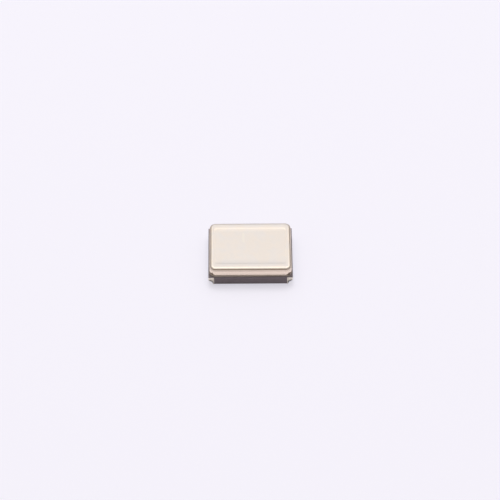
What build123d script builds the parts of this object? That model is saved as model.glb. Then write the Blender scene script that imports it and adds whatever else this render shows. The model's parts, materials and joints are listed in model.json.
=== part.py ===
from build123d import *
import math
import os

# A four-terminal surface mount crystal resonator, lid up, all sizes in millimetres.
# Origin: centre of the underside of the solder terminals. X runs along the long side, Z through the lid.
# From below: terminals, fired ceramic base with its cavity, seal band, braze, seal ring, welded lid.
# Inside: a quartz blank with two film electrodes, glued at its -X end to two pads on a ceramic shelf.

# --- ceramic base ---
LENGTH = 3.20
WIDTH = 2.50
FLOOR_THICK = 0.19
WALL_HEIGHT = 0.19
WALL_THICK = 0.42
CAVITY_RADIUS = 0.10
NOTCH_RADIUS = 0.21
NOTCH_CAP = 0.04  # thickness of the topmost layer, which covers the corner notches
SHELF_HEIGHT = 0.08
SHELF_LAND = 0.04  # ceramic left bare beyond the mounting pads
PILLOW_LENGTH = 0.16
PILLOW_WIDTH = 0.90
PILLOW_SETBACK = 0.12  # from the blank's free end to the middle of the pillow
PILLOW_GAP = 0.02  # the blank's free end floats this far above the pillow

# --- metal frame on the ceramic ---
BAND_THICK = 0.012
BAND_EDGE = 0.035  # ceramic left bare outside the seal band
BAND_MARGIN = 0.01  # the band shows this far past the seal ring, inside and out
BRAZE_THICK = 0.018
RING_HEIGHT = 0.24
RING_WIDTH = 0.28
RING_RADIUS = 0.23
RING_INNER_RADIUS = 0.12

# --- lid ---
LID_THICK = 0.12
LID_INSET = 0.005  # from the outside of the seal ring to the lid's edge
RIM_WIDTH = 0.13  # sloping rim that the seam weld leaves
RIM_DROP = 0.09

# --- solder terminals ---
TERMINAL_THICK = 0.02
TERMINAL_EDGE = 0.04  # ceramic left bare outside the pads
TERMINAL_GAP_X = 1.20
TERMINAL_GAP_Y = 0.90
INDEX_CHAMFER = 0.22  # marks terminal 1
PLATING_THICK = 0.015
VIA_RADIUS = 0.05
VIA_SETBACK = 0.23  # from each side of the ceramic

# --- crystal and its mounting ---
BLANK_CLEARANCE = 0.12  # between the blank and the cavity wall
BLANK_THICK = 0.07
FILM_THICK = 0.005
ELECTRODE_LENGTH = 1.10
ELECTRODE_WIDTH = 0.86
ELECTRODE_SHIFT = 0.10  # towards the free end
ELECTRODE_RADIUS = 0.12
TAIL_WIDTH = 0.26
DOT_RADIUS = 0.16
DOT_BULGE = 0.012
DOT_HEIGHT = 0.03
PAD_LENGTH = 0.40
PAD_THICK = 0.015
PAD_GAP = 0.36  # between the two mounting pads
PAD_SETBACK = 0.17  # from the cavity's long walls to the pads
TRACE_WIDTH = 0.12

# --- heights that follow ---
FLOOR_TOP = TERMINAL_THICK + FLOOR_THICK
SHELF_TOP = FLOOR_TOP + SHELF_HEIGHT
WALL_TOP = FLOOR_TOP + WALL_HEIGHT
NOTCH_TOP = WALL_TOP - NOTCH_CAP
BRAZE_BOTTOM = WALL_TOP + BAND_THICK
RING_BOTTOM = BRAZE_BOTTOM + BRAZE_THICK
LID_BOTTOM = RING_BOTTOM + RING_HEIGHT
DOT_BOTTOM = SHELF_TOP + PAD_THICK
BLANK_BOTTOM = DOT_BOTTOM + DOT_HEIGHT + FILM_THICK
BLANK_TOP = BLANK_BOTTOM + BLANK_THICK

# --- plan sizes that follow ---
CAVITY_LENGTH = LENGTH - 2 * WALL_THICK
CAVITY_WIDTH = WIDTH - 2 * WALL_THICK
BLANK_LENGTH = CAVITY_LENGTH - 2 * BLANK_CLEARANCE
BLANK_WIDTH = CAVITY_WIDTH - 2 * BLANK_CLEARANCE
RING_EDGE = BAND_EDGE + BAND_MARGIN
PAD_WIDTH = (CAVITY_WIDTH - PAD_GAP) / 2 - PAD_SETBACK
MOUNT_X = -BLANK_LENGTH / 2 + DOT_RADIUS
MOUNT_Y = (PAD_GAP + PAD_WIDTH) / 2
SHELF_LENGTH = MOUNT_X + PAD_LENGTH / 2 + SHELF_LAND + CAVITY_LENGTH / 2
PILLOW_X = BLANK_LENGTH / 2 - PILLOW_SETBACK
PILLOW_HEIGHT = BLANK_BOTTOM - FILM_THICK - PILLOW_GAP - FLOOR_TOP
TRACE_Y = (WIDTH - WALL_THICK) / 2  # middle of the long wall
TRACE_TURN = LENGTH / 2 - WALL_THICK  # where the long trace turns to its corner

# (sign of X, sign of Y) of the four corners, in the order that the terminals are numbered.
CORNERS = {1: (-1, -1), 2: (1, -1), 3: (1, 1), 4: (-1, 1)}
FEED_TERMINALS = (1, 3)
GROUND_TERMINALS = (2, 4)


def slab(sketch, bottom, thick):
    """A flat outline raised to a plate, its underside at the height bottom."""
    return extrude(Pos(0, 0, bottom) * sketch, thick)


def inset_outline(inset, radius):
    """The base's rectangle, smaller by inset on every side, with rounded corners."""
    return RectangleRounded(LENGTH - 2 * inset, WIDTH - 2 * inset, radius)


def corner_point(number):
    """The sharp corner that the ceramic would have without its notch."""
    side_x, side_y = CORNERS[number]
    return side_x * LENGTH / 2, side_y * WIDTH / 2


def corner_circle(number, radius):
    """A circle centred on one corner of the base."""
    return Pos(*corner_point(number)) * Circle(radius)


def strip(points, width):
    """A flat strip of constant width along straight runs, with round ends."""
    outline = Sketch()
    for start, end in zip(points, points[1:]):
        run = Vector(*end) - Vector(*start)
        middle = Vector(*start) + run * 0.5
        turn = math.degrees(math.atan2(run.Y, run.X))
        outline += Pos(middle) * Rot(0, 0, turn) * SlotOverall(run.length + width, width)
    return outline


def mount_point(number):
    """Where the blank is glued: 1 on the -Y side, 2 on the +Y side."""
    return MOUNT_X, (-MOUNT_Y if number == 1 else MOUNT_Y)


def make_mounting_pad(number):
    """A pad on the shelf, under one glue dot."""
    return slab(Pos(*mount_point(number)) * Rectangle(PAD_LENGTH, PAD_WIDTH), SHELF_TOP, PAD_THICK)


def make_feed_trace(number):
    """Buried metal from a mounting pad to the plating in its terminal's notch."""
    pad_x, pad_y = mount_point(number)
    terminal = FEED_TERMINALS[number - 1]
    if number == 1:
        route = [(pad_x, pad_y), corner_point(terminal)]
    else:
        route = [(pad_x, pad_y), (pad_x, TRACE_Y), (TRACE_TURN, TRACE_Y), corner_point(terminal)]
    outline = strip(route, TRACE_WIDTH) - corner_circle(terminal, NOTCH_RADIUS)
    return slab(outline, SHELF_TOP, PAD_THICK) - make_mounting_pad(number)


def make_ground_via(number):
    """A metal plug through the wall, from a terminal pad to the seal band."""
    side_x, side_y = CORNERS[number]
    place = Pos(side_x * (LENGTH / 2 - VIA_SETBACK), side_y * (WIDTH / 2 - VIA_SETBACK))
    return slab(place * Circle(VIA_RADIUS), TERMINAL_THICK, WALL_TOP - TERMINAL_THICK)


def make_terminal(number):
    """A solder pad under one corner, in one piece with the plating that climbs the notch."""
    side_x, side_y = CORNERS[number]
    inner_x, inner_y = TERMINAL_GAP_X / 2, TERMINAL_GAP_Y / 2
    outer_x, outer_y = LENGTH / 2 - TERMINAL_EDGE, WIDTH / 2 - TERMINAL_EDGE
    outline = Rectangle(outer_x - inner_x, outer_y - inner_y)
    if number == 1:
        outline = chamfer(outline.vertices().sort_by(lambda v: v.X + v.Y)[-1], INDEX_CHAMFER)
    outline = Pos(side_x * (inner_x + outer_x) / 2, side_y * (inner_y + outer_y) / 2) * outline
    pad = slab(outline - corner_circle(number, NOTCH_RADIUS), 0, TERMINAL_THICK)
    lining = corner_circle(number, NOTCH_RADIUS) - corner_circle(number, NOTCH_RADIUS - PLATING_THICK)
    lining = lining & Rectangle(LENGTH, WIDTH)
    return pad + slab(lining, 0, NOTCH_TOP)


def make_ceramic_base():
    """The fired body: floor, wall and notches, with the shelf and the pillow inside."""
    body = slab(Rectangle(LENGTH, WIDTH), TERMINAL_THICK, FLOOR_THICK + WALL_HEIGHT)
    for number in CORNERS:
        body -= slab(corner_circle(number, NOTCH_RADIUS), TERMINAL_THICK, NOTCH_TOP - TERMINAL_THICK)
    body -= slab(inset_outline(WALL_THICK, CAVITY_RADIUS), FLOOR_TOP, WALL_HEIGHT)
    shelf_outline = Pos((SHELF_LENGTH - CAVITY_LENGTH) / 2, 0) * Rectangle(SHELF_LENGTH, CAVITY_WIDTH)
    body += slab(shelf_outline, FLOOR_TOP, SHELF_HEIGHT)
    body += slab(Pos(PILLOW_X, 0) * Rectangle(PILLOW_LENGTH, PILLOW_WIDTH), FLOOR_TOP, PILLOW_HEIGHT)
    for number in (1, 2):
        body -= make_feed_trace(number)
    for number in GROUND_TERMINALS:
        body -= make_ground_via(number)
    return body


def make_frame(edge, width, outer_radius, inner_radius, bottom, thick):
    """A flat rectangular frame on the wall: edge is its distance from the base's side."""
    outline = inset_outline(edge, outer_radius) - inset_outline(edge + width, inner_radius)
    return slab(outline, bottom, thick)


def make_seal_band():
    """Metal fired on the wall's top, a little wider than the braze on each side."""
    width = RING_WIDTH + 2 * BAND_MARGIN
    outer_radius = RING_RADIUS + BAND_MARGIN
    inner_radius = RING_INNER_RADIUS - BAND_MARGIN
    return make_frame(BAND_EDGE, width, outer_radius, inner_radius, WALL_TOP, BAND_THICK)


def make_ring_layer(bottom, thick):
    """The section that the braze and the seal ring share."""
    return make_frame(RING_EDGE, RING_WIDTH, RING_RADIUS, RING_INNER_RADIUS, bottom, thick)


def make_lid():
    """A flat plate whose rim slopes down to its welded edge."""
    edge = RING_EDGE + LID_INSET
    radius = RING_RADIUS - LID_INSET
    outer = inset_outline(edge, radius)
    inner = inset_outline(edge + RIM_WIDTH, radius - RIM_WIDTH)
    rim_height = LID_BOTTOM + LID_THICK - RIM_DROP
    crown = loft([Pos(0, 0, rim_height) * outer, Pos(0, 0, rim_height + RIM_DROP) * inner], ruled=True)
    return slab(outer, LID_BOTTOM, LID_THICK - RIM_DROP) + crown


def make_quartz_blank():
    """The resonating plate, held at its -X end."""
    return slab(Rectangle(BLANK_LENGTH, BLANK_WIDTH), BLANK_BOTTOM, BLANK_THICK)


def electrode_outline(mount):
    """The working patch and the tail that runs from it to the held end."""
    patch = Pos(ELECTRODE_SHIFT, 0) * RectangleRounded(ELECTRODE_LENGTH, ELECTRODE_WIDTH, ELECTRODE_RADIUS)
    tail_length = BLANK_LENGTH / 2 + ELECTRODE_SHIFT
    tail_x = ELECTRODE_SHIFT - tail_length / 2
    tail = Pos(tail_x, mount_point(mount)[1]) * Rectangle(tail_length, TAIL_WIDTH)
    return patch + tail


def make_bottom_electrode():
    """The film under the blank: its tail lies on glue dot 1."""
    return slab(electrode_outline(1), BLANK_BOTTOM - FILM_THICK, FILM_THICK)


def make_top_electrode():
    """The film on the blank: its tail goes round the held end to lie on glue dot 2."""
    film = slab(electrode_outline(2), BLANK_TOP, FILM_THICK)
    mount_x, mount_y = mount_point(2)
    foot = Pos(mount_x, mount_y) * Rectangle(2 * DOT_RADIUS, TAIL_WIDTH)
    edge = Pos(-(BLANK_LENGTH + FILM_THICK) / 2, mount_y) * Rectangle(FILM_THICK, TAIL_WIDTH)
    film += slab(foot, BLANK_BOTTOM - FILM_THICK, FILM_THICK)
    film += slab(edge, BLANK_BOTTOM - FILM_THICK, BLANK_THICK + 2 * FILM_THICK)
    return film


def make_adhesive_dot(number):
    """Glue between a pad and the blank, with a side that bulges outwards."""
    low, high = (DOT_RADIUS, 0), (DOT_RADIUS, DOT_HEIGHT)
    middle = (DOT_RADIUS + DOT_BULGE, DOT_HEIGHT / 2)
    outline = Polyline(high, (0, DOT_HEIGHT), (0, 0), low) + ThreePointArc(low, middle, high)
    dot = revolve(Plane.XZ * make_face(outline), Axis.Z)
    return Pos(*mount_point(number), DOT_BOTTOM) * dot


def all_pieces():
    """Every separate piece of the resonator by its node name."""
    pieces = {
        "ceramic_base": make_ceramic_base(),
        "seal_band": make_seal_band(),
        "ring_braze": make_ring_layer(BRAZE_BOTTOM, BRAZE_THICK),
        "seal_ring": make_ring_layer(RING_BOTTOM, RING_HEIGHT),
        "lid": make_lid(),
        "quartz_blank": make_quartz_blank(),
        "top_electrode": make_top_electrode(),
        "bottom_electrode": make_bottom_electrode(),
    }
    for number in CORNERS:
        pieces[f"terminal_{number}"] = make_terminal(number)
    for number in GROUND_TERMINALS:
        pieces[f"ground_via_{number}"] = make_ground_via(number)
    for number in (1, 2):
        pieces[f"mounting_pad_{number}"] = make_mounting_pad(number)
        pieces[f"feed_trace_{number}"] = make_feed_trace(number)
        pieces[f"adhesive_dot_{number}"] = make_adhesive_dot(number)
    return pieces


os.makedirs("parts", exist_ok=True)
for name, piece in all_pieces().items():
    export_step(piece, f"parts/{name}.step")
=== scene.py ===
"""Finished surfaces, materials, light and camera for a surface mount crystal resonator.

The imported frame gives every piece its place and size. Sizes here are in millimetres in the
frame's own axes (lid up, long side along X) and become metres when a mesh is made.
"""
import json
import math

import bpy
import numpy as np
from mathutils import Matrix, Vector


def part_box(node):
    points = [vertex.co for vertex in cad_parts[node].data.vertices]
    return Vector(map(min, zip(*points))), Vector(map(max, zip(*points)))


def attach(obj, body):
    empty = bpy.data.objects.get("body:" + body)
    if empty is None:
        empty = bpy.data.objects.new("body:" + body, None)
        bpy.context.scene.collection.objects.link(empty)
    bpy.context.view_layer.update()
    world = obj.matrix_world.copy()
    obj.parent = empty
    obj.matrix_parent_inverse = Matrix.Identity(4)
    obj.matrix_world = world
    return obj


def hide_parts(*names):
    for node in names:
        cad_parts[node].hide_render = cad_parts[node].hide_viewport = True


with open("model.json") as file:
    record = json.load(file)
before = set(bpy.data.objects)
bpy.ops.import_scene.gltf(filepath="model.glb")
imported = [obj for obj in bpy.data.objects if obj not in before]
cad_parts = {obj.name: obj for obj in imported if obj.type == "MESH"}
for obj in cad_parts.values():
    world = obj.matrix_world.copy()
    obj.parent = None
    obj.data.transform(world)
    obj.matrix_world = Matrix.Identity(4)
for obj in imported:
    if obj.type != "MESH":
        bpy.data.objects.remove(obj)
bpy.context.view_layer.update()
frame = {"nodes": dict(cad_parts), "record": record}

MM = 0.001
BODY = "root"

# --- outlines, in plan ---
LID_RADIUS = 0.225
RING_RADIUS = 0.23
RING_INNER_RADIUS = 0.12
BAND_MARGIN = 0.01
CAVITY_RADIUS = 0.10
NOTCH_RADIUS = 0.21
BASE_CORNER = 0.015

# --- lid ---
LID_SIDE = 0.03  # height of the upright side
ROLL_WIDTH = 0.13  # the rim that the weld rolled over
INNER_LINE_X, INNER_LINE_Y = 0.19, 0.29  # from the lid's sides to the edge of the sunken middle
INNER_STEP = 0.024
INNER_DEPTH = 0.006
SCALLOP_PITCH = 0.055
SCALLOP_DEPTH = 0.0010
LID_STEPS = {"side_steps": 280, "arc_steps": 36}  # close enough together for the scallops
ROLL_LOOPS = 17
INNER_LOOPS = 7
FACE_SHARES = (0.8, 0.5, 0.25)  # loops on the flat faces, as shares of their outline

# --- metal frame ---
RING_WIDTH = 0.28
RING_EDGE = 0.010
BAND_ROUND = 0.003
BRAZE_FOOT = 0.008  # the braze runs this far out over the seal band
BRAZE_LOOPS = 7

# --- fired layers of the base ---
FLOOR_LAYER = 0.19
SHELF_LAYER = 0.08
NOTCH_CAP = 0.04  # the topmost layer, which covers the notches
WALL_THICK = 0.42
SHELF_END = -0.66
TAPE_EDGE = 0.005
PILLOW_CENTRE = (0.94, 0.0)
PILLOW_HALF = (0.08, 0.45)
PILLOW_HEIGHT = 0.105
PILLOW_CORNER = 0.02

# --- terminals ---
PAD_EDGE = 0.04  # ceramic left bare outside the pads
PAD_THICK = 0.02
PAD_CORNER = 0.03
PAD_ROUND = 0.004
PAD_CHAMFER = 0.22  # marks terminal 1
LINING_THICK = 0.015
CORNERS = {1: (-1, -1), 2: (1, -1), 3: (1, 1), 4: (-1, 1)}  # each terminal's side of X and Y

# --- marks on the lid ---
WELD_HEIGHTS = (0.72, 0.785)  # above the board, between which the weld's warm tint fades out
BAR_CENTRE = (-0.26, 0.42)
BAR_FADE_X = (0.025, 0.06)  # from the bar's middle line
BAR_FADE_Y = (0.20, 0.26)

SMOOTH_ANGLE = 32.0  # faces that meet at a smaller angle are shaded as one


# ---------------------------------------------------------------- outlines and shells
def joined(corners, side_steps):
    """One closed outline from four corner curves in turn, joined by straight runs.

    corners is (4, points, 2), anticlockwise. A run goes from a curve's last point to the next
    curve's first in side_steps equal parts.
    """
    start, end = corners[:, -1:], np.roll(corners, -1, axis=0)[:, :1]
    share = np.arange(1, side_steps)[None, :, None] / side_steps
    return np.concatenate([corners, start + (end - start) * share], axis=1).reshape(-1, 2)


def corner_points(half_x, half_y):
    """The four corners of a rectangle, anticlockwise from +X +Y, ready to take a curve each."""
    signs = np.array([[1, 1], [-1, 1], [-1, -1], [1, -1]], float)
    return signs[:, None, :] * [half_x, half_y]


def rounded(half_x, half_y, radius, side_steps=8, arc_steps=24):
    """A rectangle with rounded corners: centre + radius * (cos a, sin a), a quarter turn each."""
    turn = np.arange(4)[:, None] * math.pi / 2 + np.linspace(0, math.pi / 2, arc_steps + 1)
    arcs = radius * np.stack([np.cos(turn), np.sin(turn)], axis=-1)
    return joined(corner_points(half_x - radius, half_y - radius) + arcs, side_steps)


def notched(half_x, half_y, radius, side_steps=8, arc_steps=24):
    """A rectangle with a hollow quarter circle about each of its sharp corners."""
    turn = np.linspace(-math.pi / 2, -math.pi, arc_steps + 1)
    turn = turn + np.arange(4)[:, None] * math.pi / 2
    arcs = radius * np.stack([np.cos(turn), np.sin(turn)], axis=-1)
    return joined(corner_points(half_x, half_y) + arcs, side_steps)


def softened(points, radius, steps=8):
    """Arcs round the inner points of a run of straight lines, whose two ends are left out.

    An arc starts radius * tan(turn / 2) before its point and turns about a centre that lies
    radius to the side on which the path turns.
    """
    path = np.array(points) @ [1, 1j]
    way = np.diff(path) / abs(np.diff(path))
    turn = np.angle(way[1:] / way[:-1])
    start = path[1:-1] - way[:-1] * radius * np.tan(abs(turn) / 2)
    centre = start + 1j * np.sign(turn) * radius * way[:-1]
    share = np.linspace(0, 1, steps + 1)[:, None]
    arcs = (centre + (start - centre) * np.exp(1j * turn * share)).T.ravel()
    return np.stack([arcs.real, arcs.imag], axis=-1)


def drawn_in(outline, inset):
    """The outline moved inwards by inset, each point along the mitre of its two sides."""
    side = np.roll(outline, -1, axis=0) - outline
    side = side / np.linalg.norm(side, axis=1, keepdims=True)
    inward = np.stack([-side[:, 1], side[:, 0]], axis=-1)
    before = np.roll(inward, 1, axis=0)
    mitre = (inward + before) / (1 + (inward * before).sum(axis=1, keepdims=True))
    return outline + inset * mitre


def ring_faces(rows, columns, closed_rows):
    """Quads between neighbouring rows of a grid whose columns close on themselves."""
    row = np.arange(rows if closed_rows else rows - 1)[:, None]
    column = np.arange(columns)[None, :]
    here, above = row * columns, (row + 1) % rows * columns
    after = (column + 1) % columns
    quads = np.stack([here + column, here + after, above + after, above + column], axis=-1)
    return quads.reshape(-1, 4)


def fan_faces(first, columns, pole, upwards):
    """Triangles from one row of a grid to a pole."""
    column = np.arange(columns)
    here, after = first + column, first + (column + 1) % columns
    middle = np.full(columns, pole)
    return np.stack((here, after, middle) if upwards else (after, here, middle), axis=-1)


def ring_shell(rows):
    """Points and faces of a closed tube: loops of points, the last joined to the first."""
    count, columns = rows.shape[:2]
    return rows.reshape(-1, 3), ring_faces(count, columns, True), np.zeros((0, 3), int)


def capped_shell(rows):
    """Points and faces of a solid: loops of points from its underside to its top, and a fan
    of triangles from each end loop to its own middle."""
    count, columns = rows.shape[:2]
    poles = np.stack([rows[0].mean(axis=0), rows[-1].mean(axis=0)])
    total = count * columns
    caps = [fan_faces(0, columns, total, False)]
    caps.append(fan_faces(total - columns, columns, total + 1, True))
    points = np.concatenate([rows.reshape(-1, 3), poles])
    return points, ring_faces(count, columns, False), np.concatenate(caps)


def raised(outlines, heights):
    """Loops of points from outlines, (rows, columns, 2), each lifted to its height."""
    level = np.reshape(heights, (len(heights), -1))
    level = np.broadcast_to(level, outlines.shape[:2])
    return np.concatenate([outlines, level[..., None]], axis=-1)


def edge_section(bottom, top, radius, steps=4):
    """(inset, height) up the side of a plate whose two edges are quarter circles of radius."""
    turn = np.linspace(0, math.pi / 2, steps + 1)
    lower = np.stack([radius * (1 - np.sin(turn)), bottom + radius * (1 - np.cos(turn))], axis=-1)
    upper = np.stack([radius * (1 - np.cos(turn)), top - radius * (1 - np.sin(turn))], axis=-1)
    return np.concatenate([lower, upper])


def plate(outline, bottom, top, radius):
    """A solid plate with rounded edges."""
    section = edge_section(bottom, top, radius)
    outlines = np.stack([drawn_in(outline, inset) for inset in section[:, 0]])
    return capped_shell(raised(outlines, section[:, 1]))


def open_plate(outer, inner, bottom, top, radius):
    """A plate with an opening, all its edges rounded. Both outlines have the same points."""
    section = edge_section(bottom, top, radius)
    out = [drawn_in(outer, inset) for inset in section[:, 0]]
    back = [drawn_in(inner, -inset) for inset in section[::-1, 0]]
    heights = np.concatenate([section[:, 1], section[::-1, 1]])
    return ring_shell(raised(np.stack(out + back), heights))


def make_object(name, shells, material):
    """One object from several closed shells of points and faces in millimetres."""
    points, faces, start = [], [], 0
    for corner, quads, triangles in shells:
        points.append(corner * MM)
        faces += (quads + start).tolist() + (triangles + start).tolist()
        start += len(corner)
    mesh = bpy.data.meshes.new(name)
    mesh.from_pydata(np.concatenate(points).tolist(), [], faces)
    mesh.shade_smooth()
    mesh.set_sharp_from_angle(angle=math.radians(SMOOTH_ANGLE))
    mesh.materials.append(material)
    made = bpy.data.objects.new(name, mesh)
    bpy.context.scene.collection.objects.link(made)
    return made


def hand_over(piece, node):
    """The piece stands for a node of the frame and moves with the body."""
    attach(piece, BODY)
    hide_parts(node)


def box_mm(node):
    """Lowest and highest corner of a node, in millimetres."""
    low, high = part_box(node)
    return np.array(low) / MM, np.array(high) / MM


# ---------------------------------------------------------------- shader expressions
class Number:
    """An output socket: an expression on it adds its Math nodes."""

    def __init__(self, nodes, socket):
        self.nodes = nodes
        self.socket = socket

    def maths(self, operation, *others):
        sockets = dict(enumerate((self, *others)))
        return self.nodes.node("ShaderNodeMath", {"operation": operation}, sockets)

    def __add__(self, other):
        return self.maths("ADD", other)

    def __sub__(self, other):
        return self.maths("SUBTRACT", other)

    def __rsub__(self, other):
        return self * -1 + other

    def __mul__(self, other):
        return self.maths("MULTIPLY", other)

    def __abs__(self):
        return self.maths("ABSOLUTE")

    __radd__ = __add__
    __rmul__ = __mul__


class Nodes:
    """The nodes of one material or world."""

    def __init__(self, owner):
        owner.use_nodes = True
        self.owner = owner
        self.tree = owner.node_tree
        self.tree.nodes.clear()

    def node(self, kind, settings, sockets, output=0):
        """Adds a node: its settings first, then the values or links of its sockets."""
        made = self.tree.nodes.new(kind)
        for key, value in settings.items():
            setattr(made, key, value)
        for key, value in sockets.items():
            if isinstance(value, Number):
                self.tree.links.new(value.socket, made.inputs[key])
            else:
                made.inputs[key].default_value = value
        return Number(self, made.outputs[output]) if len(made.outputs) else made

    def axes(self, vector):
        """The three coordinates of a vector."""
        return [self.node("ShaderNodeSeparateXYZ", {}, {"Vector": vector}, axis) for axis in "XYZ"]

    def blend(self, share, low, high):
        """A colour between low and high."""
        sockets = {0: share, 6: low, 7: high}
        return self.node("ShaderNodeMix", {"data_type": "RGBA"}, sockets, 2)

    def smooth(self, value, low, high):
        """0 below low, 1 above high, and a smooth step between."""
        sockets = {"Value": value, "From Min": low, "From Max": high}
        return self.node("ShaderNodeMapRange", {"interpolation_type": "SMOOTHSTEP"}, sockets)


class Paint(Nodes):
    """One material and its nodes, with Object coordinates in millimetres."""

    def __init__(self, name):
        super().__init__(bpy.data.materials.new(name))
        place = self.node("ShaderNodeTexCoord", {}, {}, "Object")
        scale = {"operation": "SCALE"}
        self.place = self.node("ShaderNodeVectorMath", scale, {"Vector": place, "Scale": 1 / MM})
        self.x, self.y, self.z = self.axes(self.place)

    def noise(self, scale, detail=2.0, stretch=(1, 1, 1)):
        """Noise from 0 to 1, scale waves to the millimetre, stretched along the axes."""
        factors = {0: self.place, 1: stretch}
        place = self.node("ShaderNodeVectorMath", {"operation": "MULTIPLY"}, factors)
        sockets = {"Vector": place, "Scale": scale, "Detail": detail}
        return self.node("ShaderNodeTexNoise", {}, sockets, "Fac")

    def bump(self, height, depth):
        """A surface normal from a height from 0 to 1, and the depth in millimetres."""
        sockets = {"Height": height * (depth * MM), "Distance": 1.0, "Strength": 1.0}
        return self.node("ShaderNodeBump", {}, sockets)

    def finish(self, **sockets):
        """Ends the material with one Principled shader, its sockets named with underscores."""
        named = {key.replace("_", " "): value for key, value in sockets.items()}
        shader = self.node("ShaderNodeBsdfPrincipled", {}, named)
        self.node("ShaderNodeOutputMaterial", {}, {"Surface": shader})
        return self.owner


def colour(red, green, blue):
    """An opaque colour."""
    return (red, green, blue, 1.0)


# ---------------------------------------------------------------- materials
def lid_metal():
    """Nickel-plated alloy, pale champagne: satin from rolling, warmer where the weld heated it,
    with a faint mottle and one plain bar in the middle."""
    paint = Paint("lid_metal")
    grain = paint.noise(26, 4, (0.25, 3.0, 1))
    cloud = paint.smooth(paint.noise(2.1, 3), 0.35, 0.65)
    weld = 1 - paint.smooth(paint.z, *WELD_HEIGHTS)
    bar = 1 - paint.smooth(abs(paint.x - BAR_CENTRE[0]), *BAR_FADE_X)
    bar = bar * (1 - paint.smooth(abs(paint.y - BAR_CENTRE[1]), *BAR_FADE_Y))
    plain = paint.blend(cloud, colour(0.80, 0.72, 0.65), colour(0.765, 0.71, 0.67))
    marked = paint.blend(bar * 0.5, plain, colour(0.83, 0.77, 0.68))
    base = paint.blend(weld * 0.7, marked, colour(0.77, 0.64, 0.52))
    rough = 0.25 + grain * 0.10 + cloud * 0.05
    return paint.finish(
        Base_Color=base, Metallic=1.0, Roughness=rough, Normal=paint.bump(grain, 0.0006)
    )


def ring_metal():
    """Thin gold over nickel, with the drawn grain of the frame's sides."""
    paint = Paint("ring_metal")
    grain = paint.noise(30, 3, (0.4, 0.4, 2.0))
    base = paint.blend(paint.noise(3, 2), colour(0.91, 0.77, 0.635), colour(0.87, 0.75, 0.63))
    rough = 0.16 + grain * 0.10
    return paint.finish(
        Base_Color=base, Metallic=1.0, Roughness=rough, Normal=paint.bump(grain, 0.0005)
    )


def braze_metal():
    """Silver braze, frozen in slow waves."""
    paint = Paint("braze_metal")
    wave = paint.noise(9, 2)
    base = paint.blend(wave, colour(0.74, 0.68, 0.60), colour(0.64, 0.57, 0.50))
    rough = 0.25 + wave * 0.15
    return paint.finish(
        Base_Color=base, Metallic=1.0, Roughness=rough, Normal=paint.bump(wave, 0.004)
    )


def band_metal():
    """Nickel and gold on fired metal paste."""
    paint = Paint("band_metal")
    grain = paint.noise(50, 3)
    base = paint.blend(grain, colour(0.72, 0.63, 0.52), colour(0.62, 0.54, 0.46))
    rough = 0.34 + grain * 0.2
    return paint.finish(
        Base_Color=base, Metallic=1.0, Roughness=rough, Normal=paint.bump(grain, 0.002)
    )


def dark_ceramic():
    """Fired dark alumina: fine grain and faint mottling."""
    paint = Paint("dark_ceramic")
    grain = paint.noise(60, 5)
    cloud = paint.noise(5, 3)
    base = paint.blend(cloud, colour(0.150, 0.127, 0.144), colour(0.200, 0.172, 0.193))
    rough = 0.50 + grain * 0.22
    return paint.finish(Base_Color=base, Roughness=rough, Normal=paint.bump(grain, 0.0022))


def gold_plating():
    """A thin flash of gold over nickel, with the grain of the fired paste below."""
    paint = Paint("gold_plating")
    grain = paint.noise(45, 4)
    cloud = paint.noise(4, 2)
    base = paint.blend(cloud, colour(0.92, 0.85, 0.72), colour(0.88, 0.82, 0.71))
    rough = 0.22 + grain * 0.18
    return paint.finish(
        Base_Color=base, Metallic=1.0, Roughness=rough, Normal=paint.bump(grain, 0.002)
    )


def quartz():
    """Clear crystal, lapped to a fine frost."""
    paint = Paint("quartz")
    frost = paint.noise(70, 3)
    base = paint.blend(paint.noise(1.5, 2), colour(0.90, 0.93, 0.94), colour(0.86, 0.90, 0.92))
    return paint.finish(
        Base_Color=base, Roughness=0.12 + frost * 0.12, Normal=paint.bump(frost, 0.0004),
        Transmission_Weight=0.85, IOR=1.54,
    )


def electrode_film():
    """Bright evaporated silver."""
    paint = Paint("electrode_film")
    cloud = paint.noise(2.5, 3)
    base = paint.blend(cloud, colour(0.93, 0.92, 0.90), colour(0.86, 0.86, 0.86))
    return paint.finish(Base_Color=base, Metallic=1.0, Roughness=0.16 + cloud * 0.12)


def conductive_glue():
    """Silver flakes in cured resin."""
    paint = Paint("conductive_glue")
    flake = paint.noise(80, 2)
    base = paint.blend(flake, colour(0.56, 0.55, 0.53), colour(0.72, 0.71, 0.69))
    rough = 0.40 + flake * 0.25
    return paint.finish(
        Base_Color=base, Metallic=0.7, Roughness=rough, Normal=paint.bump(flake, 0.004)
    )


def buried_metal():
    """Sintered tungsten, grey and dull."""
    paint = Paint("buried_metal")
    grain = paint.noise(60, 4)
    base = paint.blend(grain, colour(0.36, 0.35, 0.34), colour(0.48, 0.47, 0.45))
    rough = 0.50 + grain * 0.2
    return paint.finish(
        Base_Color=base, Metallic=0.9, Roughness=rough, Normal=paint.bump(grain, 0.003)
    )


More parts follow.
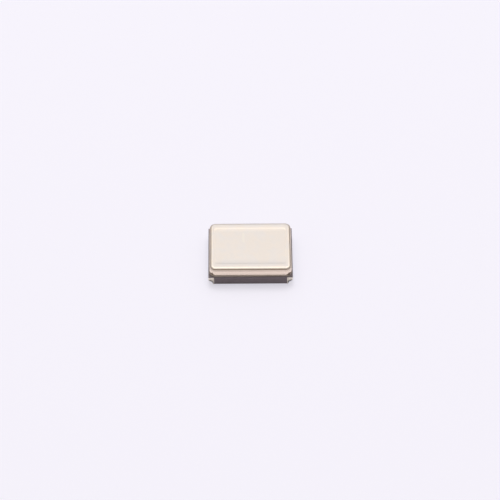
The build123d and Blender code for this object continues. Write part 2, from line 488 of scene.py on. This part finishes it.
# ---------------------------------------------------------------- pieces
def lid_rows():
    """Loops of the lid, from its underside out to the edge and back over the top.

    The side is upright, then a quarter ellipse rolls over to the flat rim, and a smooth step
    goes down to the sunken middle. Along the path the roll carries small scallops, |sin| of
    the distance, which fade at both ends of the roll.
    """
    low, high = box_mm("lid")
    bottom, top = low[2], high[2]
    path = rounded(high[0], high[1], LID_RADIUS, **LID_STEPS)
    turn = np.linspace(0, math.pi / 2, ROLL_LOOPS)
    roll = [drawn_in(path, inset) for inset in ROLL_WIDTH * (1 - np.cos(turn))]
    roll_heights = bottom + LID_SIDE + (top - bottom - LID_SIDE) * np.sin(turn)
    walked = np.cumsum(np.linalg.norm(path - np.roll(path, 1, axis=0), axis=1))
    count = round(walked[-1] / SCALLOP_PITCH)
    scallop = 1 - np.abs(np.sin(walked / walked[-1] * count * math.pi))
    dips = SCALLOP_DEPTH * np.sin(2 * turn)[:, None] * scallop

    share = np.linspace(0, 1, INNER_LOOPS)
    line_x = high[0] - INNER_LINE_X - INNER_STEP * share
    line_y = high[1] - INNER_LINE_Y - INNER_STEP * share
    step = [
        rounded(half_x, half_y, LID_RADIUS - ROLL_WIDTH, **LID_STEPS)
        for half_x, half_y in zip(line_x, line_y)
    ]
    step_heights = top - INNER_DEPTH * (3 * share**2 - 2 * share**3)
    shrink = np.array(FACE_SHARES)[:, None, None]
    return np.concatenate([
        raised(path * shrink[::-1], np.full(len(shrink), bottom)),
        raised(path[None], [bottom]),
        raised(np.stack(roll), roll_heights[:, None] - dips),
        raised(np.stack(step), step_heights),
        raised(step[-1] * shrink, np.full(len(shrink), step_heights[-1])),
    ])


def make_lid(material):
    """The lid, one closed shell through the loops above."""
    lid = make_object("lid_finish", [capped_shell(lid_rows())], material)
    hand_over(lid, "lid")


def ring_outlines(grown):
    """The outer and inner outline of the seal ring, both moved away from its metal by grown."""
    high = box_mm("seal_ring")[1]
    outer = rounded(high[0], high[1], RING_RADIUS)
    inner = rounded(high[0] - RING_WIDTH, high[1] - RING_WIDTH, RING_INNER_RADIUS)
    return drawn_in(outer, -grown), drawn_in(inner, grown)


def make_ring(material):
    """The seal ring: an upright frame with rounded edges."""
    low, high = box_mm("seal_ring")
    shell = open_plate(*ring_outlines(0.0), low[2], high[2], RING_EDGE)
    hand_over(make_object("seal_ring_finish", [shell], material), "seal_ring")


def make_braze(material):
    """The braze: its sides are hollow quarter ellipses from the seal band up to the ring."""
    low, high = box_mm("ring_braze")
    turn = np.linspace(0, math.pi / 2, BRAZE_LOOPS)
    sides = [ring_outlines(foot) for foot in BRAZE_FOOT * (1 - np.sin(turn))]
    heights = low[2] + (high[2] - low[2]) * (1 - np.cos(turn))
    outlines = [outer for outer, _ in sides] + [inner for _, inner in sides[::-1]]
    shell = ring_shell(raised(np.stack(outlines), np.concatenate([heights, heights[::-1]])))
    hand_over(make_object("ring_braze_finish", [shell], material), "ring_braze")


def make_band(material):
    """The fired metal band, a little wider than the ring on both sides."""
    low, high = box_mm("seal_band")
    shell = open_plate(*ring_outlines(BAND_MARGIN), low[2], high[2], BAND_ROUND)
    hand_over(make_object("seal_band_finish", [shell], material), "seal_band")


def make_base(material):
    """The fired base: a floor, a shelf and a wall layer, all notched, a thin cap layer over
    the notches, and the pillow that the blank's free end would land on."""
    low, high = box_mm("ceramic_base")
    half_x, half_y = high[0], high[1]
    floor_top = low[2] + FLOOR_LAYER
    shelf_top = floor_top + SHELF_LAYER
    cavity_x, cavity_y = half_x - WALL_THICK, half_y - WALL_THICK
    low_outline = notched(half_x, half_y, NOTCH_RADIUS)
    top_outline = rounded(half_x, half_y, BASE_CORNER)
    notch_top = high[2] - NOTCH_CAP
    cavity = rounded(cavity_x, cavity_y, CAVITY_RADIUS)
    opening = rounded((cavity_x - SHELF_END) / 2, cavity_y, CAVITY_RADIUS)
    opening = opening + [(cavity_x + SHELF_END) / 2, 0]
    pillow = rounded(*PILLOW_HALF, PILLOW_CORNER) + PILLOW_CENTRE
    layers = [
        plate(low_outline, low[2], floor_top, TAPE_EDGE),
        open_plate(low_outline, opening, floor_top, shelf_top, TAPE_EDGE),
        open_plate(low_outline, cavity, shelf_top, notch_top, TAPE_EDGE),
        open_plate(top_outline, cavity, notch_top, high[2], TAPE_EDGE),
        plate(pillow, floor_top, floor_top + PILLOW_HEIGHT, TAPE_EDGE),
    ]
    hand_over(make_object("ceramic_finish", layers, material), "ceramic_base")


def notch_arc(corner, radius, edge, steps=24):
    """The part of a circle about a +X +Y corner that lies at least edge inside both sides."""
    lean = math.asin(edge / radius)
    turn = np.linspace(-math.pi / 2 - lean, -math.pi + lean, steps + 1)
    return corner + radius * np.stack([np.cos(turn), np.sin(turn)], axis=-1)


def make_terminal(number, material):
    """A pad with soft corners, hollowed at the notch, and the plating that lines the notch.

    Both are drawn in the +X +Y quarter and mirrored. Terminal 1 has its inner corner cut off.
    """
    node = f"terminal_{number}"
    signs = np.array(CORNERS[number], float)
    low, high = box_mm(node)
    near, far = np.minimum(abs(low), abs(high))[:2], np.maximum(abs(low), abs(high))[:2]
    arc = notch_arc(far, NOTCH_RADIUS, PAD_EDGE)
    edge = far - PAD_EDGE
    inner_corner = [near]
    if number == 1:
        inner_corner = [near + [0, PAD_CHAMFER], near + [PAD_CHAMFER, 0]]
    run = [arc[-1], [near[0], edge[1]], *inner_corner, [edge[0], near[1]], arc[0]]
    pad = np.concatenate([arc, softened(run, PAD_CORNER)])
    out, back = notch_arc(far, NOTCH_RADIUS, 0.0), notch_arc(far, NOTCH_RADIUS - LINING_THICK, 0.0)
    lining = np.concatenate([out, back[::-1]])
    outlines = [outline * signs for outline in (pad, lining)]
    if signs.prod() < 0:
        outlines = [outline[::-1] for outline in outlines]
    pad, lining = outlines
    lining_rows = raised(np.stack([lining, lining]), [low[2], high[2]])
    shells = [plate(pad, low[2], low[2] + PAD_THICK, PAD_ROUND), capped_shell(lining_rows)]
    hand_over(make_object(f"{node}_finish", shells, material), node)


finishes = {
    "lid_metal": lid_metal(), "ring_metal": ring_metal(), "braze_metal": braze_metal(),
    "dark_ceramic": dark_ceramic(), "gold_plating": gold_plating(), "quartz": quartz(),
    "electrode_film": electrode_film(), "conductive_glue": conductive_glue(),
    "buried_metal": buried_metal(),
}
for entry in frame["record"]["subparts"]:
    carried = frame["nodes"][entry["node"]]
    carried.data.materials.clear()
    carried.data.materials.append(finishes[entry["material_slot"]])

make_lid(finishes["lid_metal"])
make_ring(finishes["ring_metal"])
make_braze(finishes["braze_metal"])
make_band(band_metal())
make_base(finishes["dark_ceramic"])
for corner_number in CORNERS:
    make_terminal(corner_number, finishes["gold_plating"])


# ---------------------------------------------------------------- stage, light and camera
FLOOR_SIZE = 2000.0
FLOOR_COLOUR = colour(0.913, 0.902, 1.0)
FLOOR_GLOW = 0.56  # the share of the floor's tone that light and shadow don't change
GLOSSY_GLOW = 0.45  # the same for what metal reflects
LIGHT_LEAN = 30.0
WINDOW_COSINES = (0.55, 0.85)
WINDOW_COLOUR = colour(0.94, 0.97, 1.02)
WINDOW_RIM_COLOUR = colour(1.98, 1.85, 1.66)
WINDOW_NARROWING = 0.7
RIM_HEIGHTS = (0.82, 0.92)  # the window's bright rim comes up between these heights
RIM_NARROWING = 2
ZENITH_HEIGHTS = (0.955, 1.0)  # and goes out again between these
HORIZON_HEIGHTS = (0.05, 0.35)
ROOM_COLOUR = colour(0.44, 0.415, 0.385)
HORIZON_COLOUR = colour(0.20, 0.19, 0.165)
DARK_LEAN = 65.0  # the darkest part of the room, on the -Y side
DARK_COSINES = (0.60, 0.85)
DARK_COLOUR = colour(0.27, 0.225, 0.185)
LAMP_SIZE = 90.0
LAMP_DISTANCE = 200.0
LAMP_LEAN = 24.0
LAMP_LEVEL = 0.33  # what the lamp adds to a white surface that faces it

CAMERA_ELEVATION = 48.0
CAMERA_AZIMUTH = -0.52
CAMERA_ANGLE = 12.0
CAMERA_DISTANCE = 91.5
AIM = (-0.009, 0.488, 0.0)


def make_floor():
    """A pale floor that keeps its tone for the camera and in reflections, under a soft shadow."""
    paint = Paint("pale_floor")
    sockets = {"Base Color": FLOOR_COLOUR, "Roughness": 0.9, "Specular IOR Level": 0.0}
    lit = paint.node("ShaderNodeBsdfPrincipled", {}, sockets)
    plain = paint.node("ShaderNodeEmission", {}, {"Color": FLOOR_COLOUR})
    camera, glossy = (
        paint.node("ShaderNodeLightPath", {}, {}, f"Is {kind} Ray")
        for kind in ("Camera", "Glossy")
    )
    share = camera * FLOOR_GLOW + glossy * GLOSSY_GLOW
    mixed = paint.node("ShaderNodeMixShader", {}, {0: share, 1: lit, 2: plain})
    paint.node("ShaderNodeOutputMaterial", {}, {"Surface": mixed})
    half = FLOOR_SIZE / 2
    corners = [[-half, -half, 0], [half, -half, 0], [half, half, 0], [-half, half, 0]]
    shell = np.array(corners), np.array([[0, 1, 2, 3]]), np.zeros((0, 3), int)
    make_object("floor", [shell], paint.owner)


def make_world():
    """A dim room with one wide soft window of light overhead, leaning towards +Y.

    Both the window and the darkest part of the room fade outwards as a smooth step of the
    cosine of the angle to their middle. The window has a brighter rim round the zenith.
    """
    nodes = Nodes(bpy.data.worlds.new("studio"))
    bpy.context.scene.world = nodes.owner
    across, along, up = nodes.axes(nodes.node("ShaderNodeTexCoord", {}, {}, "Generated"))
    lean = math.radians(LIGHT_LEAN)
    aside = across * across
    facing = along * math.sin(lean) + up * math.cos(lean) - aside * WINDOW_NARROWING
    rim = nodes.smooth(up + aside * RIM_NARROWING, *RIM_HEIGHTS)
    rim = rim * (1 - nodes.smooth(up, *ZENITH_HEIGHTS))
    window = nodes.blend(rim, WINDOW_COLOUR, WINDOW_RIM_COLOUR)
    room = nodes.blend(nodes.smooth(up, *HORIZON_HEIGHTS), HORIZON_COLOUR, ROOM_COLOUR)
    dark_lean = math.radians(DARK_LEAN)
    shade = up * math.cos(dark_lean) - along * math.sin(dark_lean)
    room = nodes.blend(nodes.smooth(shade, *DARK_COSINES), room, DARK_COLOUR)
    tone = nodes.blend(nodes.smooth(facing, *WINDOW_COSINES), room, window)
    studio = nodes.node("ShaderNodeBackground", {}, {"Color": tone, "Strength": 1.0})
    plain = nodes.node("ShaderNodeBackground", {}, {"Color": FLOOR_COLOUR, "Strength": 1.0})
    seen = nodes.node("ShaderNodeLightPath", {}, {}, "Is Camera Ray")
    mixed = nodes.node("ShaderNodeMixShader", {}, {0: seen, 1: studio, 2: plain})
    nodes.node("ShaderNodeOutputWorld", {}, {"Surface": mixed})


def make_lamp():
    """A soft lamp in the middle of the window, for matt surfaces only."""
    data = bpy.data.lights.new("soft_lamp", "AREA")
    data.shape = "DISK"
    data.size = LAMP_SIZE * MM
    data.energy = LAMP_LEVEL * (math.pi * LAMP_DISTANCE * MM) ** 2
    lamp = bpy.data.objects.new("soft_lamp", data)
    bpy.context.scene.collection.objects.link(lamp)
    lean = math.radians(LAMP_LEAN)
    lamp.location = (0, LAMP_DISTANCE * MM * math.sin(lean), LAMP_DISTANCE * MM * math.cos(lean))
    lamp.rotation_euler = (-lean, 0, 0)
    lamp.visible_glossy = False


def make_camera():
    """The camera looks down at the aim from the -Y side, by its elevation and azimuth."""
    elevation, azimuth = math.radians(CAMERA_ELEVATION), math.radians(CAMERA_AZIMUTH)
    level = math.cos(elevation)
    away = np.array([math.sin(azimuth) * level, -math.cos(azimuth) * level, math.sin(elevation)])
    data = bpy.data.cameras.new("camera")
    data.angle = math.radians(CAMERA_ANGLE)
    data.clip_start, data.clip_end = MM, FLOOR_SIZE * MM
    camera = bpy.data.objects.new("camera", data)
    bpy.context.scene.collection.objects.link(camera)
    camera.location = (AIM + away * CAMERA_DISTANCE) * MM
    camera.rotation_euler = (math.pi / 2 - elevation, 0, azimuth)
    bpy.context.scene.camera = camera


make_floor()
make_world()
make_lamp()
make_camera()
bpy.context.scene.view_settings.view_transform = "Standard"
